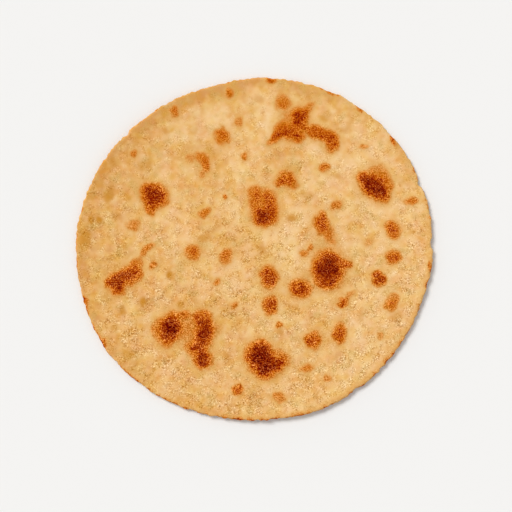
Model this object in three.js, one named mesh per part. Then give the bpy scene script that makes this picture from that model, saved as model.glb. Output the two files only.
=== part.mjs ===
// Rice flatbread: one round of rice-flour dough, patted out by hand and roasted on a griddle.
// It is a single baked piece, so the group holds a single mesh.
// Millimetres, +Z up. The origin is under the middle of the bread, on the surface that it lies on.

import * as THREE from "three";

// Driving dimensions
const MEAN_RADIUS = 97.7; // half the average width of the round
const MIDDLE_THICKNESS = 3.4; // the dough is patted thinner from the middle outwards
const RIM_THICKNESS = 2.2;

// The outline is a circle with a few shallow lobes, as hands leave it.
// Each lobe count has the height of its lobes and the direction of the first one.
const OUTLINE_LOBES = [
  { count: 2, height: 2.3, towardsDegrees: 18 },
  { count: 3, height: 0.5, towardsDegrees: 57 },
  { count: 5, height: 0.3, towardsDegrees: 7 },
];

// The middle lies flat. Beyond it the edge has dried and lifted a little, more in some directions.
const FLAT_SHARE_OF_RADIUS = 0.55;
const MEAN_EDGE_LIFT = 1.5;
const EDGE_LIFT_WAVES = [
  { count: 2, height: 0.6, towardsDegrees: 140 },
  { count: 3, height: 0.5, towardsDegrees: 20 },
  { count: 5, height: 0.3, towardsDegrees: 65 },
];

// Steam has raised low, broad swells in the top. Each has its middle, how far it reaches and its height.
const SWELLS = [
  { x: 24, y: 69, reach: 27, height: 0.6 },
  { x: 68, y: 35, reach: 22, height: 0.55 },
  { x: 4, y: 26, reach: 24, height: 0.5 },
  { x: -57, y: 30, reach: 21, height: 0.5 },
  { x: -73, y: -16, reach: 22, height: 0.5 },
  { x: -38, y: -46, reach: 30, height: 0.65 },
  { x: 6, y: -60, reach: 24, height: 0.6 },
  { x: 42, y: -11, reach: 25, height: 0.6 },
  { x: -27, y: 66, reach: 30, height: 0.35 },
  { x: -22, y: 2, reach: 28, height: 0.3 },
  { x: 62, y: -50, reach: 28, height: 0.35 },
];

// Facets
const SEGMENTS = 84; // around the bread
const RINGS = 13; // from the middle to the rim, on each side
const RIM_STEPS = 6; // round the rounded rim

const BREAD_COLOUR = "#e2b478";

// The sum of some waves around the bread, in one direction from its middle.
function waves(list, angle) {
  let sum = 0;
  for (const { count, height, towardsDegrees } of list) {
    sum += height * Math.cos(count * (angle - THREE.MathUtils.degToRad(towardsDegrees)));
  }
  return sum;
}

// Half of the bread's cross-section as (radius, height) points: out along the flat underside,
// round the rim, and back over the top to the middle.
function crossSection() {
  const rimRadius = RIM_THICKNESS / 2;
  const rimCentre = MEAN_RADIUS - rimRadius;
  const points = [];
  for (let ring = 0; ring < RINGS; ring++) {
    points.push(new THREE.Vector2((rimCentre * ring) / RINGS, 0));
  }
  for (let step = 0; step <= RIM_STEPS; step++) {
    const turn = Math.PI * (step / RIM_STEPS - 0.5);
    const radius = rimCentre + rimRadius * Math.cos(turn);
    points.push(new THREE.Vector2(radius, rimRadius + rimRadius * Math.sin(turn)));
  }
  for (let ring = RINGS - 1; ring >= 0; ring--) {
    const share = ring / RINGS;
    const height = THREE.MathUtils.lerp(MIDDLE_THICKNESS, RIM_THICKNESS, share * share);
    points.push(new THREE.Vector2(rimCentre * share, height));
  }
  return points;
}

// How high the edge's waves lift the sheet above the surface it lies on.
function edgeLift(radius, angle) {
  const flatRadius = FLAT_SHARE_OF_RADIUS * MEAN_RADIUS;
  const share = Math.max(0, (radius - flatRadius) / (MEAN_RADIUS - flatRadius));
  return share * share * (MEAN_EDGE_LIFT + waves(EDGE_LIFT_WAVES, angle));
}

// How high the swells raise the top at a place.
function swellHeight(x, y) {
  let sum = 0;
  for (const { x: middleX, y: middleY, reach, height } of SWELLS) {
    const share = Math.min(1, Math.hypot(x - middleX, y - middleY) / reach);
    sum += height * (1 - share * share) ** 2;
  }
  return sum;
}

// The round is a lathe shape. Its points are then moved to the lobed outline and the lifted edge.
function flatbreadGeometry() {
  const geometry = new THREE.LatheGeometry(crossSection(), SEGMENTS);
  geometry.rotateX(Math.PI / 2);
  const position = geometry.attributes.position;
  for (let i = 0; i < position.count; i++) {
    const x = position.getX(i);
    const y = position.getY(i);
    const radius = Math.hypot(x, y);
    const angle = Math.atan2(y, x);
    const stretch = 1 + waves(OUTLINE_LOBES, angle) / MEAN_RADIUS;
    const height = position.getZ(i);
    const swell = (swellHeight(x, y) * height) / MIDDLE_THICKNESS;
    position.setXYZ(i, x * stretch, y * stretch, height + swell + edgeLift(radius, angle));
  }
  geometry.computeVertexNormals();
  return geometry;
}

const flatbread = new THREE.Mesh(
  flatbreadGeometry(),
  new THREE.MeshStandardMaterial({ color: BREAD_COLOUR, roughness: 0.8, metalness: 0 }),
);
flatbread.name = "flatbread";

const group = new THREE.Group();
group.add(flatbread);
export default group;
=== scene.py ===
# %% [markdown]
# # A rice flatbread from a dry griddle
#
# This lesson makes the visible model of a rice flatbread: a ball of rice-flour dough, patted out to a
# thin round by hand, laid on a hot dry iron griddle, turned over and roasted again. The shape is nearly
# a disc, so what makes it bread is what the hand and the iron left on it: a lobed edge with small
# cracks, a skin of coarse flour grains, low swells where steam lifted the dough, and brown spots where
# a swell was pressed against the iron.
#
# The bread is one baked piece, so it is one closed mesh with one material. Its outer size was settled
# in a plain solid before this lesson starts, and everything here is fitted to that solid.

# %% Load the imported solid
import math
import random
from collections import namedtuple

import bpy
import numpy as np
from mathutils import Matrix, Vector, noise


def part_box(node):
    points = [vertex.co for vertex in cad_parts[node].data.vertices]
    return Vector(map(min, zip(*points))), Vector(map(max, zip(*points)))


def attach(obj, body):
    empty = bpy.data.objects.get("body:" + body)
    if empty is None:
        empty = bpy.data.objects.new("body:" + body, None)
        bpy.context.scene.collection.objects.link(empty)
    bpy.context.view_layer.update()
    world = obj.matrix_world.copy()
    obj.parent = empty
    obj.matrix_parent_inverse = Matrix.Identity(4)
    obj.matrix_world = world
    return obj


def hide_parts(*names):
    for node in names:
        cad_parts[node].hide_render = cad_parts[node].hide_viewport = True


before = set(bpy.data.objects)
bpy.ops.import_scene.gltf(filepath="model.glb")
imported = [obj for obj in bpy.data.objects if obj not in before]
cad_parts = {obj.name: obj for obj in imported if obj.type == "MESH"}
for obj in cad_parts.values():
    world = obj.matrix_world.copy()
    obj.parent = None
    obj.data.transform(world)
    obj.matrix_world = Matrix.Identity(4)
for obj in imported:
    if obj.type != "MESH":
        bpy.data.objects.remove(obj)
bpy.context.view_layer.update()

# %% [markdown]
# ## Sizes
#
# Blender works in metres, but bread is easier to think about in millimetres, so each length below is a
# number of millimetres times MM. The radius could be typed in again here. It is read from the solid's
# box instead, so the two can't drift apart.

# %% Read the size of the solid
MM = 0.001
RIM_THICKNESS = 2.2 * MM
MIDDLE_THICKNESS = 3.4 * MM

low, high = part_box("flatbread")
MEAN_RADIUS = (high.x - low.x + high.y - low.y) / 4
print(f"mean radius {MEAN_RADIUS / MM:.1f} mm")

# %% [markdown]
# ## The camera
#
# Food laid flat is usually shown from straight above. A long lens keeps the view nearly parallel, so
# the rim isn't seen more on one side than on the other. The distance follows from the lens: the picture
# should be about one and a half breads wide.

# %% Make the camera
LENS = 100.0
SENSOR = 36.0
PICTURE_WIDTH = 287 * MM
AIM = Vector((0.7 * MM, -3.5 * MM, 0))  # the bread sits a little off the middle of the picture

camera_data = bpy.data.cameras.new("overhead_camera")
camera_data.lens = LENS
camera_data.sensor_width = SENSOR
camera = bpy.data.objects.new("overhead_camera", camera_data)
camera.location = AIM + Vector((0, 0, PICTURE_WIDTH * LENS / SENSOR))
bpy.context.scene.collection.objects.link(camera)
bpy.context.scene.camera = camera
print(f"camera {camera.location.z:.2f} m above the bread")

# %% [markdown]
# ## The outline
#
# Hands leave a round with shallow lobes, and its edge lifts a little as it dries. Both were settled in
# the solid, so they are read from it here: the farthest point in each direction gives the outline, and
# that point's height gives the lift. Between the directions a smooth curve would be possible, but the
# steps are so small that straight interpolation is enough.

# %% Read the outline and the lift of the edge from the solid
DIRECTIONS = 84  # the solid has this many points around its rim

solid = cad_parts["flatbread"].data
corners = np.array([v.co for v in solid.vertices])
corner_radius = np.hypot(corners[:, 0], corners[:, 1])
corner_turn = np.arctan2(corners[:, 1], corners[:, 0])
direction = np.round(corner_turn / (2 * np.pi / DIRECTIONS)).astype(int) % DIRECTIONS
outermost = [np.argmax(np.where(direction == d, corner_radius, 0)) for d in range(DIRECTIONS)]
outline_radius = corner_radius[outermost]
outline_lift = corners[outermost, 2] - RIM_THICKNESS / 2
print(f"radius {outline_radius.min() / MM:.1f} to {outline_radius.max() / MM:.1f} mm")
print(f"edge lift {outline_lift.min() / MM:.1f} to {outline_lift.max() / MM:.1f} mm")

# %% [markdown]
# ## Noise and eased steps
#
# Dough has no two places alike, so nearly every number below is varied by noise. Random numbers would
# give sharp jumps from point to point. Blender's own noise is smooth, has a size, and gives the same
# value for the same place each time, which keeps the bread the same in every run. The second helper
# turns a value into a soft switch: off below one number, on above another, and eased between them.

# %% Make the helpers for noise and eased steps


def noise_at(points, size, seed, octaves=1):
    """Smooth noise, mostly from -1 to 1, with lumps about size apart. Each seed has its own lumps."""
    shift = Vector((12.7, 7.3, 3.1)) * seed
    return 2 * np.array([noise.fractal(Vector(p) / size + shift, 1, 2, octaves) for p in points])


def rise(value, start, end):
    """0 at start, 1 at end, eased between them and held beyond. Start may be the larger of the two."""
    part = np.clip((value - start) / (end - start), 0, 1)
    return part * part * (3 - 2 * part)


print("an eased step in quarters:", [round(float(rise(part, 0, 4)), 3) for part in range(5)])

# %% [markdown]
# ## Toasted spots
#
# Where a swell of dough touched the iron it browned: yellow first, then orange, and dark red-brown
# where it stayed longest. A spot isn't a disc. It is a few overlapping dabs, each an ellipse whose heat
# falls off from its core, and the grain of the dough frays its border. Noise alone could scatter such
# spots, but where they sit is what makes this bread this bread, so the dabs are listed one by one. Their
# places were read off the photograph, and reach and heat were then adjusted by looking at the
# render and by comparing its mean tone with the photograph's at each dab.
#
# Each dab has its place, x to the right and y to the far side of the middle of the bread, how far it
# reaches along and across, how far it is turned, and its heat.

# %% Place the large spots on the far half
Dab = namedtuple("Dab", "x y length width turn heat")  # in millimetres and degrees; heat 1 is charred

FAR_SPOTS = [
    # the cluster near the far edge: a dark crown, an orange body below it and an arm to the right
    Dab(25.3, 75.4, 4.6, 4.2, 60, 0.61),
    Dab(30.6, 79.8, 3.8, 2.2, 55, 0.34),
    Dab(19.5, 71.5, 6.2, 5.6, 40, 0.22),
    Dab(25.4, 70, 4.6, 4.4, 0, 0.52),
    Dab(15.6, 67, 4.6, 4, 40, 0.46),
    Dab(20.6, 64.8, 4.8, 3.6, 0, 0.5),
    Dab(24.6, 62.2, 3.4, 3.2, 0, 0.52),
    Dab(12.2, 62.2, 3.8, 2.2, 40, 0.58),
    Dab(8.4, 59.6, 2.6, 1.8, 20, 0.3),
    Dab(28.8, 66.8, 3.8, 3.2, 0, 0.24),
    Dab(34.6, 65.6, 4.6, 3.8, 0, 0.6),
    Dab(39.8, 63.4, 4.2, 4, -30, 0.5),
    Dab(43.6, 60, 3.8, 4.6, 0, 0.58),
    Dab(43, 56, 3.4, 2.8, 0, 0.14),
    Dab(16, 82.1, 4.2, 4.8, 0, 0.45),
    # the dark wedge at the right, golden on its far and outer sides
    Dab(65.8, 36, 6.6, 5.6, -40, 0.84),
    Dab(61, 39.2, 4, 3.8, 0, 0.5),
    Dab(63.8, 33.6, 3.8, 3.4, -40, 0.1),
    Dab(70.2, 31.4, 5.2, 4.2, -60, 0.65),
    Dab(68.5, 42.8, 5.6, 5.6, 0, 0.26),
    Dab(73, 36.6, 3.8, 6.4, 0, 0.42),
]
print(len(FAR_SPOTS), "dabs in the large spots on the far half")

# %% Place the large spots across the middle
MIDDLE_SPOTS = [
    # the tall one in the middle, darkest at its near end
    Dab(5.2, 18.6, 6.4, 5.2, 0, 0.84),
    Dab(-0.6, 32.8, 3.8, 3.6, 0, 0.4),
    Dab(-0.4, 26, 3.8, 4.8, 0, 0.41),
    Dab(8.4, 27.8, 4, 5.2, 0, 0.46),
    Dab(4.2, 30, 4.6, 4.6, 0, 0.28),
    Dab(10, 23.6, 4, 4.4, 0, 0.4),
    # its three-cornered neighbour
    Dab(17.2, 39.4, 5, 4.6, 0, 0.56),
    Dab(16.8, 43.6, 3, 3, 0, 0.08),
    Dab(21.6, 36.4, 3.6, 3, -30, 0.3),
    Dab(13.4, 37.4, 2.8, 2.4, 0, 0.37),
    # the three-cornered one at the left
    Dab(-57.2, 31.2, 6.2, 5, -20, 0.8),
    Dab(-61.4, 33.6, 3, 2.4, -30, 0.06),
    Dab(-56, 34.4, 4.5, 2.4, 0, 0.28),
    Dab(-51.8, 32.6, 3.8, 4.2, 0, 0.22),
    Dab(-52.4, 27.6, 3.8, 3.6, 0, 0.45),
    Dab(-57.4, 25.4, 3.8, 4.2, -15, 0.6),
    Dab(-58.4, 21.2, 2.2, 2.4, 0, 0.36),
    # the long one at the far left, with a trail behind it
    Dab(-77.6, -17.8, 5, 4.8, 0, 0.65),
    Dab(-71.4, -14, 6, 4, 35, 0.64),
    Dab(-80.6, -18.8, 3, 3.4, 0, 0.49),
    Dab(-76, -23, 3.6, 2.8, 30, 0.72),
    Dab(-66.4, -8.8, 3, 4, -20, 0.41),
    Dab(-65.8, -14.4, 2.8, 3.2, 0, 0.5),
    Dab(-68.6, -18.2, 4.2, 2.2, 35, 0.32),
    Dab(-62, -1.4, 3.6, 2.1, 50, 0.34),
    Dab(-58.2, 1.7, 3.4, 1.6, 20, 0.36),
    Dab(-56.6, -8.6, 3.2, 2.7, 30, 0.43),
]
print(len(MIDDLE_SPOTS), "dabs in the large spots across the middle")

# %% Place the large spots on the near half
NEAR_SPOTS = [
    # the pair near the near left, joined by a scorched bridge
    Dab(-46.8, -44, 5.4, 7, 0, 0.88),
    Dab(-51.6, -44.4, 5.6, 6, 0, 0.46),
    Dab(-45.8, -37.2, 4.2, 3, 10, 0.22),
    Dab(-49.4, -51.2, 4.6, 3.4, 0, 0.45),
    Dab(-39.4, -36.6, 4.4, 2.4, 5, 0.35),
    Dab(-38.4, -44.6, 4.4, 6, 0, 0.24),
    Dab(-29.4, -38.6, 5.2, 4.8, 0, 0.6),
    Dab(-28.4, -46.4, 5.4, 7, 0, 0.86),
    Dab(-30.8, -54, 4.8, 4, 0, 0.52),
    Dab(-35.6, -55, 3.8, 3.8, 0, 0.34),
    Dab(-28.8, -61, 4.8, 5, 0, 0.8),
    Dab(-20.8, -44.6, 3, 4, 0, 0.12),
    # the broad one near the near edge
    Dab(2.4, -56, 5.4, 5, 20, 0.88),
    Dab(3.8, -61.6, 6.8, 6.8, 0, 0.92),
    Dab(6.4, -67, 5.6, 4.6, 0, 0.88),
    Dab(11, -64, 5, 4.4, 0, 0.83),
    Dab(15.6, -60.8, 4.4, 4.6, 0, 0.33),
    Dab(7.8, -58.6, 4.2, 3.6, 0, 0.5),
    Dab(-3.8, -59.6, 2.8, 4.6, 0, 0.38),
    # the round dark one right of the middle
    Dab(40.8, -10.6, 7.6, 8.8, 0, 0.96),
    Dab(42.5, -3.8, 5, 3.2, -20, 0.45),
    Dab(41.5, -18.8, 6, 3.4, 0, 0.54),
    Dab(34, -11.4, 2.6, 5, 0, 0.06),
    Dab(47.6, -12, 3.4, 6, 0, 0.28),
    Dab(51.8, -8, 2.4, 2.2, 0, 0.7),
]
print(len(NEAR_SPOTS), "dabs in the large spots on the near half")

# %% Place the middle-sized spots
MIDDLE_SIZED_SPOTS = [
    Dab(37.2, 15.6, 4.6, 5.2, 0, 0.6),
    Dab(39, 10.4, 4.8, 4, 0, 0.26),
    Dab(42.4, 6.4, 3.8, 3, -40, 0.28),
    Dab(7.8, -15.2, 4.8, 5.6, 0, 0.72),
    Dab(25.2, -21.8, 5.5, 5.2, -20, 0.7),
    Dab(8.6, -30.9, 4, 4.9, 0, 0.64),
    Dab(76.6, 13, 3.4, 3.4, 0, 0.45),
    Dab(77.8, 9.2, 3.8, 4, 0, 0.46),
    Dab(77.2, -4.2, 3.9, 3.8, 0, 0.62),
    Dab(69.2, -15.9, 3.8, 3.9, 0, 0.75),
    Dab(75.6, -31, 3.6, 3.8, 0, 0.47),
    Dab(77.6, -27, 3.4, 3, 0, 0.28),
    Dab(47.3, -46.8, 4.2, 5.3, 0, 0.62),
    Dab(32.7, -51, 4.8, 4.6, 0, 0.61),
    Dab(-34, -1.5, 4.2, 4.4, 0, 0.5),
    Dab(-37.4, -2, 2.8, 3, 0, 0.17),
    Dab(-16, -3.8, 3.8, 4.6, 0, 0.42),
    Dab(-13.4, -0.8, 3, 2.4, 0, 0.22),
    Dab(-18.4, 63.6, 3.6, 4.8, 5, 0.48),
    Dab(-15.4, 62.2, 3, 4, 0, 0.18),
    Dab(48.8, -29.6, 3.4, 2.5, 20, 0.57),
    Dab(53.6, -25, 4.2, 1.6, 45, 0.26),
]
print(len(MIDDLE_SIZED_SPOTS), "dabs in the middle-sized spots")

# %% Place the small spots
SMALL_SPOTS = [
    Dab(-30.2, 51.8, 4, 2.8, -15, 0.42),
    Dab(-26.8, 47.4, 2.4, 3.8, 15, 0.48),
    Dab(-29.2, 42.2, 2, 2.4, 0, 0.32),
    Dab(-36.8, 50.8, 2.8, 3.4, 0, 0.25),
    Dab(-8.6, 71.3, 2.4, 2.7, 0, 0.34),
    Dab(-14, 88, 2.2, 3.4, 0, 0.5),
    Dab(-44.8, 77, 2.6, 2.8, 0, 0.43),
    Dab(-67.9, 53.9, 2.1, 2.6, 0, 0.4),
    Dab(-5.4, 52.2, 2.1, 2.5, 0, 0.42),
    Dab(39.1, 45.8, 2.9, 2.9, 0, 0.46),
    Dab(45.2, 24.8, 3, 2.4, 30, 0.38),
    Dab(48.2, 27.4, 2.4, 2, 30, 0.12),
    Dab(60.5, 57.3, 2.9, 1.7, 0, 0.34),
    Dab(87.4, 27, 3.6, 2.5, 10, 0.48),
    Dab(30.8, 1.4, 1.7, 2.2, -30, 0.46),
    Dab(27.6, -2.3, 2.6, 2, 10, 0.4),
    Dab(-29, 20, 2.8, 2.5, 20, 0.45),
    Dab(-26, 21.8, 2.2, 1.6, 40, 0.26),
    Dab(-16.3, 29.1, 1.3, 1.2, 0, 0.52),
    Dab(-68, 13.8, 4.1, 3.6, 0, 0.34),
    Dab(-21.4, -17.9, 2.3, 2.3, 0, 0.42),
    Dab(-11.2, -30.8, 3, 2.1, 50, 0.37),
    Dab(13, -42.4, 1.8, 1.8, 0, 0.48),
    Dab(28.9, -66.2, 3.6, 2.5, 0, 0.42),
    Dab(40.8, -72, 2.5, 2.6, 0, 0.34),
    Dab(13.7, -82.2, 4, 3.1, 0, 0.35),
    Dab(-9.5, -78.4, 3, 2.8, 30, 0.57),
    Dab(70.1, -48.2, 2, 2.4, 0, 0.28),
    Dab(63.6, 4.3, 2.6, 2.4, 0, 0.24),
]
print(len(SMALL_SPOTS), "dabs in the small spots")

# %% [markdown]
# The rim dried out before the rest, so bits of it scorched where it touched the iron. They are dabs
# too, long and narrow, and lie half over the edge so that the rim's own side browns with them.

# %% Place the scorched bits on the rim, and put the lists together
RIM_BITS = [
    Dab(9.2, 94.4, 3, 1.6, 0, 0.54),
    Dab(41, 88, 3, 1, -25, 0.45),
    Dab(58.6, 78.2, 2.8, 1.3, -40, 0.38),
    Dab(77.6, 60.8, 2.6, 1.3, -50, 0.68),
    Dab(97.8, -9, 1.1, 2.6, 0, 0.4),
    Dab(82.6, -51.3, 1.2, 2.6, -40, 0.35),
    Dab(7.4, -95.4, 2.6, 0.8, 0, 0.7),
    Dab(-9.2, -95.4, 2.6, 0.9, 0, 0.7),
    Dab(-84.8, -51.4, 1.8, 2.6, 40, 0.4),
    Dab(-94.2, -28.5, 1.5, 3, 15, 0.48),
]
TOP_DABS = FAR_SPOTS + MIDDLE_SPOTS + NEAR_SPOTS + MIDDLE_SIZED_SPOTS + SMALL_SPOTS + RIM_BITS
print(len(TOP_DABS), "dabs on the top")

# %% [markdown]
# ## Straw-coloured smudges
#
# Some places only came near the iron. They turned a dull straw colour and never browned. They could be
# weak toasted dabs, but browning starts out orange and these stay greenish yellow, so they have a list
# and a colour of their own.

# %% Place the straw-coloured smudges
STRAW_DABS = [
    # along the left
    Dab(-91.2, 16.4, 1.7, 2, 0, 0.95),
    Dab(-86.6, 16.4, 1.9, 2.2, 0, 0.9),
    Dab(-77.4, 18.8, 1.8, 2.4, 0, 0.42),
    Dab(-94.2, 6.4, 3, 5.6, -10, 0.75),
    Dab(-81, 31.5, 2.8, 5.8, -20, 0.72),
    Dab(-78.4, 48, 2.2, 3.8, -20, 0.6),
    Dab(-60.8, 47.8, 4, 4, 0, 0.58),
    Dab(-49.5, 66.8, 2.4, 2.4, 0, 0.52),
    Dab(-73.7, -34.3, 2.4, 3, 0, 0.78),
    Dab(-62.4, -29.8, 3, 3.2, 0, 0.95),
    Dab(-78.3, -43, 2, 3, 0, 0.6),
    # between the spots
    Dab(-34.4, 67, 2.6, 2, 0, 0.35),
    Dab(-28.8, 6, 4.4, 2, 15, 0.7),
    Dab(-47.5, -14, 2.6, 3, 0, 0.95),
    Dab(-41.7, -31.5, 2, 3, 0, 0.85),
    Dab(-26, -31, 2.8, 2, 0, 0.2),
    Dab(3.8, 0.3, 2.2, 3.4, 10, 0.65),
    Dab(20.5, 17.6, 3, 2.2, 0, 0.85),
    Dab(14.4, -46.2, 2.2, 2.8, 0, 0.6),
    Dab(-15.2, -60.2, 2.3, 2.7, 0, 0.5),
    Dab(-49.8, -60.4, 3.4, 2.4, 0, 0.15),
    # to the right and far away
    Dab(2.1, 84.5, 3, 2.2, 0, 0.45),
    Dab(39, 74.6, 3.6, 2.6, 0, 0.55),
    Dab(50.4, 66.5, 3.8, 2, 10, 0.4),
    Dab(46, 41.5, 3.2, 2, 0, 0.5),
    Dab(29.6, 30.5, 4.2, 2.2, 0, 0.45),
    Dab(79.6, -37.3, 2.8, 2.8, 0, 0.6),
    Dab(59.2, -37.3, 2.2, 3, 0, 0.4),
]
print(len(STRAW_DABS), "straw-coloured smudges")

# %% [markdown]
# ## Drifts of the plain crumb
#
# Between the spots the crumb is tanner where the dough is thicker or sat longer on the iron, and paler
# elsewhere, in drifts two or three centimetres wide. Noise gives such drifts, but in the wrong places,
# so large, weak dabs correct it. They weren't placed by eye: an early render was compared with the
# photograph in squares of 22 mm, and places and amounts follow the differences, rounded and moved a
# little. A negative number makes a place paler.

# %% Place the broad drifts of the plain crumb
CRUMB_DRIFTS = [
    Dab(-22, 89, 12, 9, 0, 0.17),
    Dab(-44, 66, 14, 11, 0, -0.13),
    Dab(-21, 68, 10, 10, 0, -0.1),
    Dab(24, 54, 14, 9, 0, 0.13),
    Dab(66, 62, 13, 13, -45, -0.34),
    Dab(-44, 42, 12, 11, 0, -0.17),
    Dab(-22, 42, 11, 12, 0, 0.18),
    Dab(44, 42, 12, 11, 0, 0.1),
    Dab(88, 34, 8, 14, 0, 0.11),
    Dab(-89, 24, 9, 12, 0, 0.15),
    Dab(-6, 20, 10, 12, 0, -0.1),
    Dab(48, 20, 14, 10, 0, 0.11),
    Dab(-88, 0, 9, 11, 0, -0.1),
    Dab(-66, 2, 11, 10, 0, 0.14),
    Dab(-44, 2, 12, 11, 0, -0.16),
    Dab(-66, -22, 12, 11, 0, 0.15),
    Dab(48, -26, 14, 10, 0, 0.14),
    Dab(-2, -22, 12, 10, 0, 0.09),
    Dab(-20, -44, 10, 12, 0, 0.13),
    Dab(87, -42, 9, 11, 0, 0.13),
    Dab(-2, -72, 14, 9, 0, -0.14),
    Dab(22, -87, 12, 8, 0, -0.09),
]
print(len(CRUMB_DRIFTS), "drifts of the plain crumb")

# %% [markdown]
# ## The underside
#
# The underside was roasted flat on the iron, so it has spots all over, a few large and dark ones among
# many small ones. They could be placed by hand too, but nothing on the underside has to sit in a
# certain place, so these dabs are scattered. The seed keeps them the same in every run.

# %% Scatter dabs on the underside
SCATTER_SEED = 5
SCATTERED, LARGE_ONES = 70, 14
SCATTER_RADIUS, SCATTER_EDGE = 90, 92
SMALLEST, LARGEST, ENLARGED = 2.2, 5, 1.8
WEAKEST, STRONGEST, EXTRA_HEAT = 0.25, 0.6, 0.3

UNDERSIDE_DABS = []
dice = random.Random(SCATTER_SEED)
while len(UNDERSIDE_DABS) < SCATTERED:
    x, y = dice.uniform(-SCATTER_EDGE, SCATTER_EDGE), dice.uniform(-SCATTER_EDGE, SCATTER_EDGE)
    if math.hypot(x, y) < SCATTER_RADIUS:
        size = dice.uniform(SMALLEST, LARGEST) * (ENLARGED if len(UNDERSIDE_DABS) < LARGE_ONES else 1)
        heat = dice.uniform(WEAKEST, STRONGEST) + (EXTRA_HEAT if size > LARGEST else 0)
        UNDERSIDE_DABS.append(Dab(x, y, size, size * dice.uniform(0.6, 1), dice.uniform(0, 180), heat))
print(len(UNDERSIDE_DABS), "dabs on the underside")

# %% [markdown]
# ## From dabs to heat
#
# Each point of the surface needs one number: how browned it is. Adding up the dabs would overshoot
# where they overlap. Instead each dab takes its share of what is still pale, as a second coat of a
# stain does, so overlapping dabs darken each other and never pass 1.

# %% Work out the heat of dabs at given points
CORE, END = 0.34, 1.48  # shares of a dab's size: full heat inside the core, none beyond the end


def cover_of(dab, x, y, reach=1):
    """How much of a dab each point gets, from 1 in its core to 0 beyond its end."""
    turn = math.radians(dab.turn)
    from_x, from_y = x - dab.x * MM, y - dab.y * MM
    along = (from_x * math.cos(turn) + from_y * math.sin(turn)) / (dab.length * MM * reach)
    across = (from_y * math.cos(turn) - from_x * math.sin(turn)) / (dab.width * MM * reach)
    return rise(np.hypot(along, across), END, CORE)


def heat_of(dabs, x, y, reach=1):
    """How browned each point is, from 0 to 1. A reach above 1 widens every dab."""
    pale = np.ones_like(x)
    for dab in dabs:
        pale *= 1 - dab.heat * cover_of(dab, x, y, reach)
    return 1 - pale


hottest = max(TOP_DABS, key=lambda dab: dab.heat)
hottest_heat = heat_of(TOP_DABS, np.array([hottest.x * MM]), np.array([hottest.y * MM]))[0]
print(f"heat in the middle of the hottest dab: {hottest_heat:.2f}")

# %% [markdown]
# ## The mesh: rings zipped together
#
# The surface needs an even net of small triangles all over, fine enough to carry grains of flour. A
# lathe would crowd its points at the middle. Instead the bread is laid out in rings, from the middle of
# the underside, round the rim, to the middle of the top, and each ring has as many points as its length
# asks for. The underside is flatter and less seen, so its net is coarser.

# %% List the rings
TOP_SPACING = 0.74 * MM
UNDERSIDE_SPACING = 1.25 * MM
RIM_STEPS = 9

flat_radius = MEAN_RADIUS - RIM_THICKNESS / 2
Ring = namedtuple("Ring", "share side_turn count")  # share of the flat radius; -90 under, 90 on top


def ring_count(share, spacing):
    """How many points fit around a ring."""
    return max(1, round(2 * math.pi * flat_radius * share / spacing))


rings = []
steps = round(flat_radius / UNDERSIDE_SPACING)
for step in range(steps):
    rings.append(Ring(step / steps, -90, ring_count(step / steps, UNDERSIDE_SPACING)))
for step in range(RIM_STEPS + 1):
    share = step / RIM_STEPS
    spacing = UNDERSIDE_SPACING + (TOP_SPACING - UNDERSIDE_SPACING) * min(1, 2 * share)
    rings.append(Ring(1, 180 * share - 90, ring_count(1, spacing)))
steps = round(flat_radius / TOP_SPACING)
for step in reversed(range(steps)):
    rings.append(Ring(step / steps, 90, ring_count(step / steps, TOP_SPACING)))
print(len(rings), "rings,", sum(ring.count for ring in rings), "points")

# %% [markdown]
# Neighbouring rings differ in their number of points, so they can't be joined by four-sided faces.
# They are joined the way a zip closes: each edge of one ring gets a triangle to the nearest point of
# the other ring. That leaves no gaps, and the mesh comes out closed.

# %% Zip the rings into triangles


def zip_rings(first, first_count, second, second_count):
    """Triangles between two rings of points, which start at the indices first and second."""
    first_middles = (np.arange(first_count) + 0.5) / first_count
    second_middles = (np.arange(second_count) + 0.5) / second_count
    triangles = []
    if first_count > 1:
        edge = np.arange(first_count)
        apex = np.searchsorted(second_middles, first_middles) % second_count
        triangles.append(np.stack([first + edge, first + (edge + 1) % first_count, second + apex], 1))
    if second_count > 1:
        edge = np.arange(second_count)
        apex = np.searchsorted(first_middles, second_middles, side="right") % first_count
        triangles.append(np.stack([second + (edge + 1) % second_count, second + edge, first + apex], 1))
    return np.concatenate(triangles)


starts = np.cumsum([0] + [ring.count for ring in rings])
triangles = np.concatenate([
    zip_rings(starts[i], rings[i].count, starts[i + 1], rings[i + 1].count)
    for i in range(len(rings) - 1)
])
print(len(triangles), "triangles")

# %% [markdown]
# ## Where each point lies
#
# Each point is known by three numbers: its direction from the middle, its share of the way out, and how
# far it has turned round the rim. Rings would show as circles in low light, so the points on the top
# stray a little from their places. The rim's points stay put, or its round profile would get dents.

# %% Lay out the points before any relief
STRAY = 0.28  # share of the spacing
STRAY_SEED = 11
INNERMOST = 0.02  # share of the way out; nearer the middle, points don't stray any further sideways
NEAR_UPRIGHT = math.radians(89)  # only the rings beyond the rim are turned as far as this

turn = np.concatenate([np.arange(ring.count) * 2 * np.pi / ring.count for ring in rings])
share = np.concatenate([np.full(ring.count, ring.share) for ring in rings])
side_turn = np.radians(np.concatenate([np.full(ring.count, ring.side_turn) for ring in rings]))

stray = np.random.default_rng(STRAY_SEED).uniform(-STRAY, STRAY, (2, len(turn)))
on_top = side_turn > NEAR_UPRIGHT
share = np.where(on_top & (share > 0), share + stray[0] * TOP_SPACING / flat_radius, share)
turn = turn + np.where(on_top, stray[1] * TOP_SPACING / (flat_radius * np.maximum(share, INNERMOST)), 0)

side = (1 + np.sin(side_turn)) / 2  # 0 on the underside, 1 on the top
edge_share = np.cos(side_turn)  # 1 at the outermost point of the rim
print(f"{on_top.sum()} points on the top")

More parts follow.
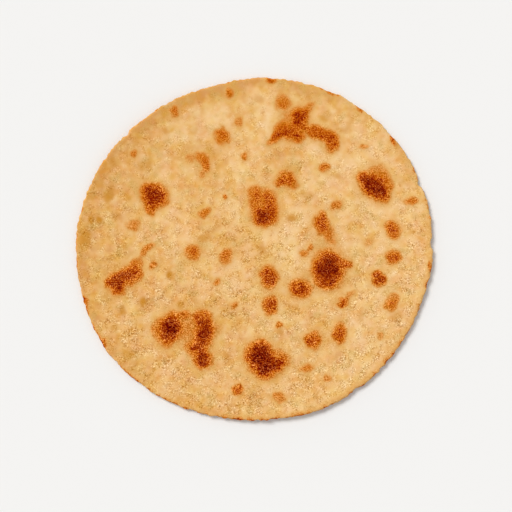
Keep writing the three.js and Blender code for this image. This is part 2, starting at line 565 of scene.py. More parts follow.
# %% [markdown]
# ## The edge
#
# Rice dough has no gluten to hold it together, so its edge wobbles, cracks into small nicks and loses
# a chip here and there. Each chip could be cut by hand. Noise along the edge is enough, because no
# chip is deeper than a millimetre or two. It runs the same on the top, the side and the underside of
# the rim, as a real crack does, and only the side's own roughness differs with height.

# %% Crack and chip the edge
NICK_SIZE, NICK_DEPTH = 5 * MM, 0.14 * MM
CHIP_SIZE, CHIP_DEPTH = 8 * MM, 0.6 * MM
WOBBLE_SIZE, WOBBLE_DEPTH = 17 * MM, 0.42 * MM
SIDE_GRAIN_SIZE, SIDE_GRAIN = 2.4 * MM, 0.3  # the grain is a share of the rim's rounding
EDGE_START = 0.93  # share of the way out from which the edge's shape is felt


def around_solid(values):
    """The value in each point's direction, between those of the solid's own directions."""
    return np.interp(turn, np.arange(DIRECTIONS) * 2 * np.pi / DIRECTIONS, values, period=2 * np.pi)


def round_the_edge(height):
    """Each point's place on a hoop round the bread, for noise that follows the edge."""
    return np.stack([np.cos(turn) * MEAN_RADIUS, np.sin(turn) * MEAN_RADIUS, side * height], 1)


nicks = noise_at(round_the_edge(0), NICK_SIZE, 21, 2)
chips = -rise(noise_at(round_the_edge(0), CHIP_SIZE, 22), 0.5, 1)
wobble = noise_at(round_the_edge(0), WOBBLE_SIZE, 23, 2)
side_grain = noise_at(round_the_edge(3 * MM), SIDE_GRAIN_SIZE, 24, 2)
edge_shift = NICK_DEPTH * nicks + CHIP_DEPTH * chips + WOBBLE_DEPTH * wobble

radius = (around_solid(outline_radius) - RIM_THICKNESS / 2) * share
radius += rise(share, EDGE_START, 1) * edge_shift
radius += edge_share * (RIM_THICKNESS / 2) * (1 + SIDE_GRAIN * side_grain)
x, y = radius * np.cos(turn), radius * np.sin(turn)
print(f"edge shifted by {edge_shift.min() / MM:.2f} to {edge_shift.max() / MM:.2f} mm")

# %% [markdown]
# ## Browning of each point
#
# Now every point gets its heat from the dabs. Ellipses would give clean borders, which real spots don't
# have, so each point looks its heat up a little beside its own place, by a noise of two sizes. The
# wider one bends the borders and the finer one frays them.

# %% Fray the dabs and brown the points
WIDE_FRAY_SIZE, WIDE_FRAY = 7 * MM, 0.7 * MM
FINE_FRAY_SIZE, FINE_FRAY = 2.6 * MM, 0.5 * MM
FAR_APART = 3 * MM  # between the top and the underside, so that they don't fray alike

places = np.stack([x, y, side * FAR_APART], 1)
frayed_x = x + WIDE_FRAY * noise_at(places, WIDE_FRAY_SIZE, 1)
frayed_x += FINE_FRAY * noise_at(places, FINE_FRAY_SIZE, 2)
frayed_y = y + WIDE_FRAY * noise_at(places, WIDE_FRAY_SIZE, 3)
frayed_y += FINE_FRAY * noise_at(places, FINE_FRAY_SIZE, 4)
upper = side > 0.5
underside_heat = heat_of(UNDERSIDE_DABS, frayed_x, frayed_y)
heat = np.where(upper, heat_of(TOP_DABS, frayed_x, frayed_y), underside_heat)
straw = np.where(upper, heat_of(STRAW_DABS, frayed_x, frayed_y), 0)
print(f"heat up to {heat.max():.2f}, straw up to {straw.max():.2f}")

# %% [markdown]
# Hot air under a swell also browned the crumb around each spot faintly. That glow is the same dabs
# again, wider, weaker and without the fray.

# %% Let the spots glow
GLOW_REACH, GLOW_HEAT = 1.75, 0.3

glow = GLOW_HEAT * np.where(upper, heat_of(TOP_DABS, x, y, GLOW_REACH), 0.5 * underside_heat)
print(f"glow up to {glow.max():.2f}")

# %% [markdown]
# The side of the rim has small brown blots, most of them on the near half, and where the side turns
# into the top it has a faint brown line, strongest at the near right. The line is partly browning and
# partly painted shade, darkest where the near edge curves away from the light. Neither has an exact
# place to keep to, so both come from the direction, and the blots from noise along the edge as well.

# %% Brown the rim
BLOT_SIZE, BLOT_HEAT = 3.6 * MM, 0.62
BLOTS_ON_NEAR_HALF = 0.4
RIM_START, RIM_HEAT_ON_TOP = 0.98, 0.3  # the rest of the heat comes towards the side
LINE_AND_SHADE_HEAT, LINE_AND_SHADE_SIDE = 0.2, -55  # degrees
LINE_START, LINE_END = 0.965, 0.995


def on_side(degrees):
    """1 on the side of the bread that lies in a direction, down to 0 on the opposite side."""
    return (0.5 + 0.5 * np.cos(turn - math.radians(degrees))) ** 2


blots = noise_at(round_the_edge(5 * MM), BLOT_SIZE, 31, 3) - BLOTS_ON_NEAR_HALF * np.sin(turn)
rim_heat = BLOT_HEAT * rise(blots, 0.2, 1) * rise(share, RIM_START, 1)
rim_heat *= RIM_HEAT_ON_TOP + (1 - RIM_HEAT_ON_TOP) * edge_share
# Part browning, part painted shade: a darker line along the near right rim.
rim_line_and_shade = LINE_AND_SHADE_HEAT * rise(share, LINE_START, LINE_END) * on_side(LINE_AND_SHADE_SIDE)
toast = 1 - (1 - heat) * (1 - glow) * (1 - rim_heat) * (1 - rim_line_and_shade)
print(f"{100 * (toast[on_top] > 0.3).mean():.0f}% of the top is toasted")

# %% [markdown]
# ## How tan and how coarse the plain crumb is
#
# Away from the spots the crumb isn't one colour either. It is tanner on one side of the bread and in the
# drifts placed above, and the rest is left to noise. Along the edge it is darkened by painted shade,
# strongest on the far side and in a thin band all round the rim, while the side of the rim is paler. It
# could all be worked out by nodes in the material. Numbers on the points are easier to look at and to
# change, and the material then only turns a number into a colour.

# %% Say where the plain crumb is tan
TAN_SIDE = math.radians(200)
TAN, TAN_ACROSS, TAN_AT_RANDOM, TAN_OF_EDGE_SHADE = 0.46, 0.17, 0.165, 0.5
TAN_NOISE_SIZE = 17 * MM
SHADED_EDGE_SIDE = 100  # degrees
EDGE_SHADE_START, RIM_SHADE_START, EDGE_SHADE_END = 0.87, 0.95, 0.99  # shares of the way out
RIM_SHADE, PALER_SIDE = 0.15, 0.3


def towards(angle):
    """From -1 to 1 across the bread, rising in one direction."""
    return (x * math.cos(angle) + y * math.sin(angle)) / MEAN_RADIUS


# Painted shade: darker along the edge, most on the far side and in a thin band round the rim; the side
# of the rim is made paler.
edge_shade_and_pale_side = rise(share, EDGE_SHADE_START, EDGE_SHADE_END) * on_side(SHADED_EDGE_SIDE)
edge_shade_and_pale_side += RIM_SHADE * rise(share, RIM_SHADE_START, EDGE_SHADE_END) - PALER_SIDE * edge_share
tan = TAN + TAN_ACROSS * towards(TAN_SIDE) + TAN_OF_EDGE_SHADE * edge_shade_and_pale_side
tan += TAN_AT_RANDOM * noise_at(places, TAN_NOISE_SIZE, 32, 2)
for drift in CRUMB_DRIFTS:
    tan += np.where(upper, drift.heat * cover_of(drift, x, y), 0)
print(f"tan {tan[on_top].min():.2f} to {tan[on_top].max():.2f}")

# %% [markdown]
# The hand pressed one half of the round smoother than the other. On the near side the coarse flour
# stands out all over, and towards the far side the skin gets smooth. This number later sets both the
# height of the grain and how much of it shows.

# %% Say where the skin is coarse
COARSE_SIDE = math.radians(-84)
COARSEST, SMOOTHING, COARSE_AT_RANDOM = 0.88, 0.8, 0.16
COARSE_NOISE_SIZE = 11 * MM

far_share = (1 - towards(COARSE_SIDE)) / 2
coarseness = COARSEST - SMOOTHING * far_share ** 2
coarseness += COARSE_AT_RANDOM * noise_at(places, COARSE_NOISE_SIZE, 44, 2)
coarseness = np.clip(coarseness, 0.1, 1)
print(f"coarseness {coarseness[on_top].min():.2f} to {coarseness[on_top].max():.2f}")

# %% [markdown]
# ## The relief
#
# Everything that the hand feels is real geometry here, because a bump in the material can't change the
# edge of the bread or catch a low light. From large to small it is the crown (thicker in the middle),
# the lift of the edge, swells under the toasted spots, lumps a few millimetres wide, and grains.
# The underside is pressed flat by the griddle, so it only has shallow hollows.

# %% Raise the relief
SWELL_HEIGHT, SWELL_REACH = 0.4 * MM, 1.2
WAVE_SIZE, WAVE_HEIGHT = 24 * MM, 0.16 * MM
LUMP_SIZE, LUMP_HEIGHT, HOLLOW_HEIGHT = 4.2 * MM, 0.043 * MM, 0.1 * MM
GRAIN_SIZE, GRAIN_HEIGHT, PIT_HEIGHT = 1.7 * MM, 0.035 * MM, 0.04 * MM
LIFT_START = 0.55  # share of the way out; the bread lies flat up to here, as its solid does

swell = SWELL_HEIGHT * rise(1.2 * heat_of(TOP_DABS, x, y, SWELL_REACH), 0, 1)
waves = WAVE_HEIGHT * noise_at(places, WAVE_SIZE, 41, 2)
lumps = noise_at(places, LUMP_SIZE, 42, 2)
grains = noise_at(places, GRAIN_SIZE, 43)
top_relief = swell + waves + coarseness * (LUMP_HEIGHT * lumps + GRAIN_HEIGHT * grains)
underside_relief = HOLLOW_HEIGHT * np.abs(lumps) + PIT_HEIGHT * np.abs(grains)

lift_share = np.clip((share - LIFT_START) / (1 - LIFT_START), 0, 1) ** 2
crown = (MIDDLE_THICKNESS - RIM_THICKNESS) * (1 - share * share)
height = lift_share * around_solid(outline_lift)
height += side * (RIM_THICKNESS + crown + top_relief) + (1 - side) * underside_relief
height -= height.min()
print(f"the bread is {height.max() / MM:.2f} mm high")

# %% [markdown]
# ## The mesh itself
#
# The points and triangles are ready, so the mesh is made from lists in one go, which is far quicker
# than adding its corners one by one. Smooth shading hides the flat triangles, and the rim is rounded
# finely enough not to need a sharp edge anywhere.

# %% Make the mesh
bread_mesh = bpy.data.meshes.new("flatbread_surface")
bread_mesh.from_pydata(np.stack([x, y, height], 1).tolist(), [], triangles.tolist())
bread_mesh.shade_smooth()
bread = bpy.data.objects.new("flatbread_surface", bread_mesh)
bpy.context.scene.collection.objects.link(bread)
print(len(bread_mesh.polygons), "faces; faulty:", bread_mesh.validate(verbose=False))

# %% [markdown]
# ## Laying the surface out flat
#
# When the bread leaves Blender, its colours are painted onto a square map, so the surface has to be
# laid out flat. An automatic layout would cut it into hundreds of patches with visible seams. A round
# bread needs only two: a large disc for the top and the rim, and a small one for the underside. The
# only seam is then where the underside begins, out of sight.

# %% Lay the surface out flat for painting
TOP_PART, UNDERSIDE_PART = 0.4, 0.175  # radii on a square with sides of 1
MARGIN = 0.005
MAP_STEPS = 1024  # dots along one side of the painted map

rim_arc = math.pi * RIM_THICKNESS / 2
unrolled = np.where(on_top, share * flat_radius, flat_radius + (0.5 - side_turn / math.pi) * rim_arc)
unrolled = unrolled / (flat_radius + rim_arc)
round_turn = np.stack([np.cos(turn), np.sin(turn)], 1)
top_map = (TOP_PART + MARGIN) + TOP_PART * unrolled[:, None] * round_turn
underside_map = (1 - UNDERSIDE_PART - MARGIN) + UNDERSIDE_PART * share[:, None] * round_turn * [-1, 1]
is_underside = (side_turn[triangles] < -NEAR_UPRIGHT).all(axis=1)
corner_map = np.where(is_underside[:, None, None], underside_map[triangles], top_map[triangles])
bread_mesh.uv_layers.new(name="OFBake").data.foreach_set("uv", corner_map.ravel())
print(f"a dot of the map covers {(flat_radius + rim_arc) / TOP_PART / MAP_STEPS / MM:.2f} mm of the top")

# %% [markdown]
# ## Handing the numbers over
#
# A material can read any number that is stored on the points under a name. Four of them are stored:
# how browned, how straw-coloured, how tan and how coarse each point is. The browning number also holds
# the painted shade along the near right rim, and the tan number the painted shade along the edge.

# %% Store the numbers on the points
POINT_NUMBERS = {"toast": toast, "straw": straw, "tan": tan, "coarseness": coarseness}
for name, values in POINT_NUMBERS.items():
    attribute = bread_mesh.attributes.new(name, "FLOAT", "POINT")
    attribute.data.foreach_set("value", values.astype(np.float32))
print("stored on each point:", ", ".join(POINT_NUMBERS))

# %% [markdown]
# ## The material: roasted rice dough
#
# Rice dough has no gluten and little fat. Its roasted skin is dry and floury, so it scatters light
# widely and shines hardly at all, and its colour comes from starch that browned: cream, straw, orange,
# then a dark red-brown. Grains of coarse flour stand out pale, and tiny scorched flecks dark. Pictures
# of bread could be laid over the mesh, but patterns made from nodes have no seams, stay sharp at any
# distance, and their sizes can be set in millimetres.

# %% Make the helpers for colours and nodes
MIX_SHARE, MIX_FIRST, MIX_SECOND = 0, 6, 7  # a Mix node's sockets for colours, by number


def linear(hex_colour):
    """An sRGB hex colour as the linear RGBA that Blender's sockets hold."""
    parts = [int(hex_colour[i:i + 2], 16) / 255 for i in (1, 3, 5)]
    return [p / 12.92 if p <= 0.04045 else ((p + 0.055) / 1.055) ** 2.4 for p in parts] + [1]


def add_node(tree, kind, inputs=None, stops=None, **settings):
    """Adds a node. Its inputs are numbers, colours, outputs, or nodes, whose first used output counts.

    Stops are for a colour ramp: the position of each stop and its sRGB hex colour.
    """
    node = tree.nodes.new(kind)
    for name, value in settings.items():
        setattr(node, name, value)
    for number, (position, hex_colour) in enumerate((stops or {}).items()):
        ramp = node.color_ramp.elements
        stop = ramp[number] if number < 2 else ramp.new(position)
        stop.position = position
        stop.color = linear(hex_colour)
    for name, value in (inputs or {}).items():
        if isinstance(value, bpy.types.Node):
            value = next(output for output in value.outputs if output.enabled)
        if isinstance(value, bpy.types.NodeSocket):
            tree.links.new(value, node.inputs[name])
        else:
            node.inputs[name].default_value = value
    return node


print("bread brown in Blender's own numbers:", np.round(linear("#CD7827"), 3).tolist())

# %% Start the material
dough = bpy.data.materials.new("roasted_rice_dough")
dough.use_nodes = True
tree = dough.node_tree
tree.nodes.clear()
place = add_node(tree, "ShaderNodeTexCoord").outputs["Object"]
# The browning number also holds the painted shade along the near right rim.
toast_and_rim_shade_amount = add_node(tree, "ShaderNodeAttribute", attribute_name="toast").outputs["Fac"]
straw_amount = add_node(tree, "ShaderNodeAttribute", attribute_name="straw").outputs["Fac"]
tan_and_edge_shade_amount = add_node(tree, "ShaderNodeAttribute", attribute_name="tan").outputs["Fac"]
grain_amount = add_node(tree, "ShaderNodeAttribute", attribute_name="coarseness").outputs["Fac"]
print(len(tree.nodes), "nodes read the bread")

# %% [markdown]
# ### Plain crumb
#
# Crumb that never browned runs from cream to tan. Besides the broad drifts it has blotches a few
# millimetres wide, where the patted dough is a little denser. One flat colour would look like plastic.
# A colour ramp turns the tan number into a colour instead, and noise of the blotches' real size, 4 mm,
# moves that number up and down before it is looked up.

# %% Colour the plain crumb from cream to tan
BLOTCH_SIZE, BLOTCH_STRENGTH = 4, 0.28
CRUMB = {0.0: "#F1C991", 0.35: "#EBBD7F", 0.65: "#E3AE69", 1.0: "#D69C54"}


def scale_for(size):
    """The Scale that puts a pattern's features size millimetres apart."""
    return 1 / (size * MM)


blotch = add_node(tree, "ShaderNodeTexNoise", {
    "Vector": place, "Scale": scale_for(BLOTCH_SIZE), "Detail": 1.0,
})
blotch_amount = add_node(tree, "ShaderNodeMapRange", {
    "Value": blotch, "From Min": 0.25, "From Max": 0.75,
    "To Min": -BLOTCH_STRENGTH, "To Max": BLOTCH_STRENGTH,
})
# The tan number carries the painted shade along the edge, so the ramp darkens the edge as well.
tanned = add_node(tree, "ShaderNodeMath", {0: tan_and_edge_shade_amount, 1: blotch_amount}, operation="ADD")
plain = add_node(tree, "ShaderNodeValToRGB", {"Fac": tanned}, CRUMB)
print(f"blotches {BLOTCH_SIZE} mm apart on {len(CRUMB)} crumb colours")

# %% [markdown]
# Colour also drifts without getting darker: pinker here, yellower there, richer or duller. Three
# noises would do it, but a noise's colour output already holds three that don't follow each other. Red
# turns the hue, green the richness, and blue is kept for the olive places.

# %% Let the crumb's hue and richness drift
DRIFT_SIZE = 6.5
drift = add_node(tree, "ShaderNodeTexNoise", {
    "Vector": place, "Scale": scale_for(DRIFT_SIZE), "Detail": 2.0,
})
drift_parts = add_node(tree, "ShaderNodeSeparateColor", {"Color": drift.outputs["Color"]})
hue_drift = add_node(tree, "ShaderNodeMapRange", {
    "Value": drift_parts.outputs["Red"], "From Min": 0.3, "From Max": 0.7,
    "To Min": 0.493, "To Max": 0.5062,
})
richness_drift = add_node(tree, "ShaderNodeMapRange", {
    "Value": drift_parts.outputs["Green"], "From Min": 0.3, "From Max": 0.7,
    "To Min": 0.95, "To Max": 1.055,
})
drifted = add_node(tree, "ShaderNodeHueSaturation", {
    "Hue": hue_drift, "Saturation": richness_drift, "Color": plain,
})
print(f"hue and richness drift over {DRIFT_SIZE} mm")

# %% [markdown]
# ### Smudges
#
# The straw-coloured smudges are painted over the crumb where their number says so. Between them are
# duller, faintly olive places where bran was left in the flour. They keep no certain place, so they
# come where the blue part of the drift is highest.

# %% Add the olive places and the straw-coloured smudges
OLIVE = "#D6B26C"
STRAW = "#C88628"
olive_share = add_node(tree, "ShaderNodeMapRange", {
    "Value": drift_parts.outputs["Blue"], "From Min": 0.56, "From Max": 0.7,
    "To Min": 0.0, "To Max": 0.4,
})
dulled = add_node(tree, "ShaderNodeMix", {
    MIX_SHARE: olive_share, MIX_FIRST: drifted, MIX_SECOND: linear(OLIVE),
}, data_type="RGBA")
crumb = add_node(tree, "ShaderNodeMix", {
    MIX_SHARE: straw_amount, MIX_FIRST: dulled, MIX_SECOND: linear(STRAW),
}, data_type="RGBA")
print(len(tree.nodes), "nodes up to the plain crumb")

# %% [markdown]
# ### Browning
#
# Starch browns in a fixed order, so one ramp from yellow to dark red-brown colours every spot, and the
# toast number says how far along it a point is. A spot's border follows the coarse skin, because high
# grains touched the iron first. So the number is frayed before it is looked up, by noise as wide as
# the lumps of the skin, 2.4 mm, and by flecks. Scorched flecks are 0.1 to 0.3 mm wide on the bread, too
# fine to see from this far, so they are drawn coarser, 0.6 mm apart.

# %% Fray the browning
FRAY_SIZE, FRAY_STRENGTH = 2.4, 0.12
FLECK_SIZE, FLECK_FRAY = 0.6, 0.1
fray = add_node(tree, "ShaderNodeTexNoise", {
    "Vector": place, "Scale": scale_for(FRAY_SIZE), "Detail": 1.0,
})
fray_amount = add_node(tree, "ShaderNodeMapRange", {
    "Value": fray, "From Min": 0.25, "From Max": 0.75, "To Min": -FRAY_STRENGTH, "To Max": FRAY_STRENGTH,
})
flecks = add_node(tree, "ShaderNodeTexNoise", {
    "Vector": place, "Scale": scale_for(FLECK_SIZE), "Detail": 0.0,
})
fleck_amount = add_node(tree, "ShaderNodeMapRange", {
    "Value": flecks, "From Min": 0.25, "From Max": 0.78, "To Min": -0.9, "To Max": 1.1,
})
both_amounts = add_node(tree, "ShaderNodeMath", {
    0: fleck_amount, 1: FLECK_FRAY, 2: fray_amount,
}, operation="MULTIPLY_ADD")
fray_share = add_node(tree, "ShaderNodeMapRange", {
    "Value": toast_and_rim_shade_amount, "From Min": 0.1, "From Max": 0.75, "To Min": 0.1, "To Max": 1.0,
})
frayed = add_node(tree, "ShaderNodeMath", {
    0: both_amounts, 1: fray_share, 2: toast_and_rim_shade_amount,
}, operation="MULTIPLY_ADD")
print(f"borders frayed over {FRAY_SIZE} mm, flecks {FLECK_SIZE} mm apart")

# %% Colour the browned dough
BROWNING = {
    0.08: "#DDAB62",
    0.20: "#DBA055",
    0.32: "#D69045",
    0.47: "#CD7827",
    0.62: "#C05E10",
    0.76: "#A94102",
    0.88: "#8B2600",
    1.00: "#720D00",
}
browning = add_node(tree, "ShaderNodeValToRGB", {"Fac": frayed}, BROWNING)
browned_share = add_node(tree, "ShaderNodeMapRange", {
    "Value": frayed, "From Min": 0.02, "From Max": 0.3, "To Min": 0.0, "To Max": 1.0,
})
smooth_colour = add_node(tree, "ShaderNodeMix", {
    MIX_SHARE: browned_share, MIX_FIRST: crumb, MIX_SECOND: browning,
}, data_type="RGBA")
print(f"{len(BROWNING)} stages of browning")

# %% [markdown]
# ### Grain
#
# The skin looks sandy. Coarse flour, 0.2 to 0.4 mm across, gives a fine grit. It sticks together in
# pebbles 1 to 1.5 mm wide, with creases between them, and the colour is darkened in the creases as
# painted shade. Noise makes the grit, drawn coarser than it is, 0.65 mm apart, so that it shows at all.
# A
# Voronoi pattern makes the pebbles at their real size: the creases are the places that are far from
# the middle of any cell.

# %% Make the grit and the creases
GRIT_SIZE, GRIT_STRENGTH = 0.65, 0.167
PEBBLE_SIZE, CREASE_SHADE = 1.3, 0.06
grit = add_node(tree, "ShaderNodeTexNoise", {
    "Vector": place, "Scale": scale_for(GRIT_SIZE), "Detail": 0.0, "Distortion": 1.0,
})
grit_step = add_node(tree, "ShaderNodeMapRange", {
    "Value": grit, "From Min": 0.25, "From Max": 0.75, "To Min": -GRIT_STRENGTH, "To Max": GRIT_STRENGTH,
})
pebbles = add_node(tree, "ShaderNodeTexVoronoi", {"Vector": place, "Scale": scale_for(PEBBLE_SIZE)})
# Painted shade: the colour darkens towards the creases, where the bump also lies low.
crease_shade_step = add_node(tree, "ShaderNodeMapRange", {
    "Value": pebbles, "From Min": 0.42, "From Max": 0.8, "To Min": 0.0, "To Max": -CREASE_SHADE,
})
grit_and_crease_shade = add_node(tree, "ShaderNodeMath", {0: grit_step, 1: crease_shade_step}, operation="ADD")
print(f"grit {GRIT_SIZE} mm and pebbles {PEBBLE_SIZE} mm apart")

# %% [markdown]
# The grain isn't even. It comes in patches about 4 mm apart, as strong as the coarseness number says.
# Where the skin is smooth there are fewer patches, but each stands out more, so the patch noise is
# raised to a higher power there. Dough that swelled was stretched smooth, so a spot and the ring
# around it lose most of this grain.

# %% Say how much grain shows where
PATCH_SIZE = 4.2
patches = add_node(tree, "ShaderNodeTexNoise", {
    "Vector": place, "Scale": scale_for(PATCH_SIZE), "Detail": 2.0,
})
patch_share = add_node(tree, "ShaderNodeMapRange", {
    "Value": patches, "From Min": 0.4, "From Max": 0.6, "To Min": 0.12, "To Max": 1.22,
})
patch_contrast = add_node(tree, "ShaderNodeMapRange", {
    "Value": grain_amount, "From Min": 0.1, "From Max": 0.7, "To Min": 2.8, "To Max": 1.0,
})
patch_grain = add_node(tree, "ShaderNodeMath", {0: patch_share, 1: patch_contrast}, operation="POWER")
skin_grain = add_node(tree, "ShaderNodeMath", {0: patch_grain, 1: grain_amount}, operation="MULTIPLY")
smooth_halo = add_node(tree, "ShaderNodeMapRange", {
    "Value": toast_and_rim_shade_amount, "From Min": 0.01, "From Max": 0.14, "To Min": 1.0, "To Max": 0.4,
})
rough_share = add_node(tree, "ShaderNodeMath", {0: skin_grain, 1: smooth_halo}, operation="MULTIPLY")
print(f"patches of grain {PATCH_SIZE} mm apart")

# %% [markdown]
# Two things darken or lighten the plain crumb: the grain with its painted shade in the creases, and
# scorched specks in the olive places, which use the same fleck noise as the toasted spots.

# %% Add up the steps of the plain crumb
SPECK_DEPTH = 0.2
grain_and_crease_shade = add_node(tree, "ShaderNodeMath", {0: grit_and_crease_shade, 1: rough_share}, operation="MULTIPLY")
specks = add_node(tree, "ShaderNodeMapRange", {
    "Value": flecks, "From Min": 0.5, "From Max": 0.72, "To Min": 0.0, "To Max": -SPECK_DEPTH,
})
crumb_grain_and_shade = add_node(tree, "ShaderNodeMath", {
    0: specks, 1: olive_share, 2: grain_and_crease_shade,
}, operation="MULTIPLY_ADD")
print(len(tree.nodes), "nodes up to the grain of the crumb")

# %% [markdown]
# In the toasted spots the grain is stronger than anywhere else: pale flecks of flour beside charred
# ones. It grows with the browning, is a little weaker where the skin is smooth, and calms down in the
# darkest cores, where everything is charred alike.

# %% Add up the steps of the toasted spots
toast_grain_share = add_node(tree, "ShaderNodeMapRange", {
    "Value": toast_and_rim_shade_amount, "From Min": 0.12, "From Max": 0.72, "To Min": 0.0, "To Max": 0.35,
})
calm_core = add_node(tree, "ShaderNodeMapRange", {
    "Value": toast_and_rim_shade_amount, "From Min": 0.76, "From Max": 0.96, "To Min": 1.0, "To Max": 0.82,
})
skin_share = add_node(tree, "ShaderNodeMapRange", {
    "Value": grain_amount, "From Min": 0.1, "From Max": 0.7, "To Min": 0.62, "To Max": 1.12,
})
core_share = add_node(tree, "ShaderNodeMath", {0: toast_grain_share, 1: calm_core}, operation="MULTIPLY")
fleck_share = add_node(tree, "ShaderNodeMath", {0: core_share, 1: skin_share}, operation="MULTIPLY")
toast_step = add_node(tree, "ShaderNodeMath", {0: fleck_amount, 1: fleck_share}, operation="MULTIPLY")
print(len(tree.nodes), "nodes up to the flecks")

# %% [markdown]
# ### Grain on the colour
#
# The same amount of light more or less hardly shows on pale dough and is glaring on dark dough, because
# the eye sees lightness in steps that get finer towards the dark. So the colour is first turned into
# the eye's own steps, by raising it to 1/2.2. The grain is added there, where one step looks the same
# everywhere, and the sum is raised back. Pale grains of flour are whiter than the dough around them and
# dark ones browner, so the grain counts less in red. Charred dough has lost its blue, so some is taken
# away there, as otherwise the flecks look purple.

# %% Put the grain on the colour
EYE_GAMMA = 2.2
CRUMB_GRAIN_TINT = (0.86, 1.0, 1.03)
FLECK_TINT = (0.86, 0.93, 1.0)
LESS_BLUE = (0, 0, -1)
eye_colour = add_node(tree, "ShaderNodeGamma", {"Color": smooth_colour, "Gamma": 1 / EYE_GAMMA})
with_crumb_grain_and_shade = add_node(tree, "ShaderNodeVectorMath", {
    0: crumb_grain_and_shade, 1: CRUMB_GRAIN_TINT, 2: eye_colour,
}, operation="MULTIPLY_ADD")
blue_loss = add_node(tree, "ShaderNodeMapRange", {
    "Value": toast_and_rim_shade_amount, "From Min": 0.38, "From Max": 0.86, "To Min": 0.0, "To Max": 0.118,
})
with_less_blue = add_node(tree, "ShaderNodeVectorMath", {
    0: blue_loss, 1: LESS_BLUE, 2: with_crumb_grain_and_shade,
}, operation="MULTIPLY_ADD")
with_both_grains = add_node(tree, "ShaderNodeVectorMath", {
    0: toast_step, 1: FLECK_TINT, 2: with_less_blue,
}, operation="MULTIPLY_ADD")
no_less_than_black = add_node(tree, "ShaderNodeVectorMath", {
    0: with_both_grains, 1: (0, 0, 0),
}, operation="MAXIMUM")
colour = add_node(tree, "ShaderNodeGamma", {"Color": no_less_than_black, "Gamma": EYE_GAMMA})
print(len(tree.nodes), "nodes up to the colour")

# %% [markdown]
# ### Bump and shader
#
# The grit and the creases are too fine for the mesh, so they tilt the surface in the shader only, by a
# bump. Its height is what the colour uses too, so the painted shade in the colour agrees with the light:
# a pebble's middle is high and its borders low, and the low creases are painted darker.
#
# Starch has an index of refraction of about 1.5, and the air and water in a crust bring it down a
# little, to 1.45. It isn't a metal, and a dry crust has a roughness of 0.8 to 0.9. The floury skin is
# full of tiny pores that swallow reflections, so what is left of its gloss is turned almost off.

# %% Make the bump
BUMP_DISTANCE = 0.3 * MM
CREASE_SHARE = -0.6
grain_height = add_node(tree, "ShaderNodeMath", {
    0: pebbles, 1: CREASE_SHARE, 2: grit,
}, operation="MULTIPLY_ADD")
bump = add_node(tree, "ShaderNodeBump", {
    "Strength": rough_share, "Distance": BUMP_DISTANCE, "Height": grain_height,
})
print(f"grain up to {BUMP_DISTANCE / MM:.1f} mm high in the shader")

# %% Finish the dough
shader = add_node(tree, "ShaderNodeBsdfPrincipled", {
    "Base Color": colour,
    "Roughness": 0.85,
    "IOR": 1.45,
    "Specular IOR Level": 0.04,
    "Normal": bump,
})
add_node(tree, "ShaderNodeOutputMaterial", {"Surface": shader})
bread_mesh.materials.append(dough)
print(len(tree.nodes), "nodes in the dough")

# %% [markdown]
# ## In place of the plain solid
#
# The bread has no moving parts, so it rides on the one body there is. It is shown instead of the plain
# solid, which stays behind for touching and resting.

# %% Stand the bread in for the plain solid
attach(bread, "root")
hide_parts("flatbread")
print("the bread takes the place of the solid")

# %% [markdown]
# ## The floor
#
# A sheet of matt white paper shows the bread's own colours best, because it throws no colour back at
# the rim. It is so large that its end is never seen. Uncoated paper is pressed from loose fibres, so
# it is rough, hardly shines, and gives the eye nothing to look at but the bread.

# %% Make the floor
FLOOR_HALF_WIDTH = 15
PAPER_WHITE = "#F0EFED"
floor_corners = [
    (FLOOR_HALF_WIDTH * i, FLOOR_HALF_WIDTH * j, 0) for i, j in ((-1, -1), (1, -1), (1, 1), (-1, 1))
]
floor_mesh = bpy.data.meshes.new("floor")
floor_mesh.from_pydata(floor_corners, [], [(0, 1, 2, 3)])
floor = bpy.data.objects.new("floor", floor_mesh)
bpy.context.scene.collection.objects.link(floor)

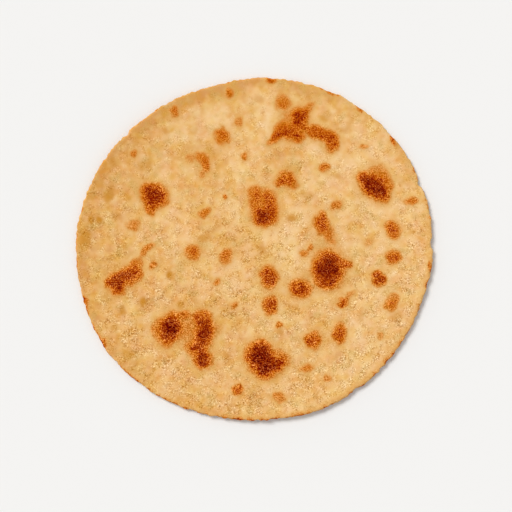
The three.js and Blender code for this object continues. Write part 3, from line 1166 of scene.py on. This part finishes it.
paper = bpy.data.materials.new("matt_white_paper")
paper.use_nodes = True
paper_shader = paper.node_tree.nodes["Principled BSDF"]
paper_shader.inputs["Base Color"].default_value = linear(PAPER_WHITE)
paper_shader.inputs["Roughness"].default_value = 0.9
paper_shader.inputs["Specular IOR Level"].default_value = 0.1
floor_mesh.materials.append(paper)
print(f"a floor {2 * FLOOR_HALF_WIDTH} m wide")

# %% [markdown]
# ## The light
#
# A catalogue of baked goods uses one large soft key light from the far left and pale studio walls all
# round as fill. An area lamp would be brighter on the near crumbs than on the far ones. A sun with a
# wide angle is as soft and lights the whole bread alike, and it stands low enough to bring out the
# grain. The walls are the world: somewhat darker overhead, and near the floor as pale as the paper, so
# that no line shows where the floor ends in low views.

# %% Light the bread
KEY_STRENGTH = 2.1
KEY_ANGLE = 24  # degrees; the real sun has half a degree
KEY_DIRECTION = Vector((1, -1.1, -1.75))

key_data = bpy.data.lights.new("softbox", "SUN")
key_data.energy = KEY_STRENGTH
key_data.angle = math.radians(KEY_ANGLE)
key = bpy.data.objects.new("softbox", key_data)
key.rotation_euler = KEY_DIRECTION.to_track_quat("-Z", "Y").to_euler()
bpy.context.scene.collection.objects.link(key)
print(f"key light {math.degrees(math.asin(-KEY_DIRECTION.normalized().z)):.0f} degrees above the floor")

# %% Put up the studio walls
LOW_WALL, HIGH_WALL = 0.9, 0.52  # strengths
studio = bpy.data.worlds.new("studio")
studio.use_nodes = True
studio_tree = studio.node_tree
direction_out = add_node(studio_tree, "ShaderNodeTexCoord").outputs["Generated"]
height_out = add_node(studio_tree, "ShaderNodeSeparateXYZ", {"Vector": direction_out}).outputs["Z"]
wall_light = add_node(studio_tree, "ShaderNodeMapRange", {
    "Value": height_out, "From Min": 0.1, "From Max": 0.3, "To Min": LOW_WALL, "To Max": HIGH_WALL,
})
walls = studio_tree.nodes["Background"]
walls.inputs["Color"].default_value = linear("#FFFFFF")
studio_tree.links.new(wall_light.outputs["Result"], walls.inputs["Strength"])
bpy.context.scene.world = studio
bpy.context.scene.view_settings.view_transform = "Standard"
print(f"walls {LOW_WALL} strong near the floor and {HIGH_WALL} overhead")
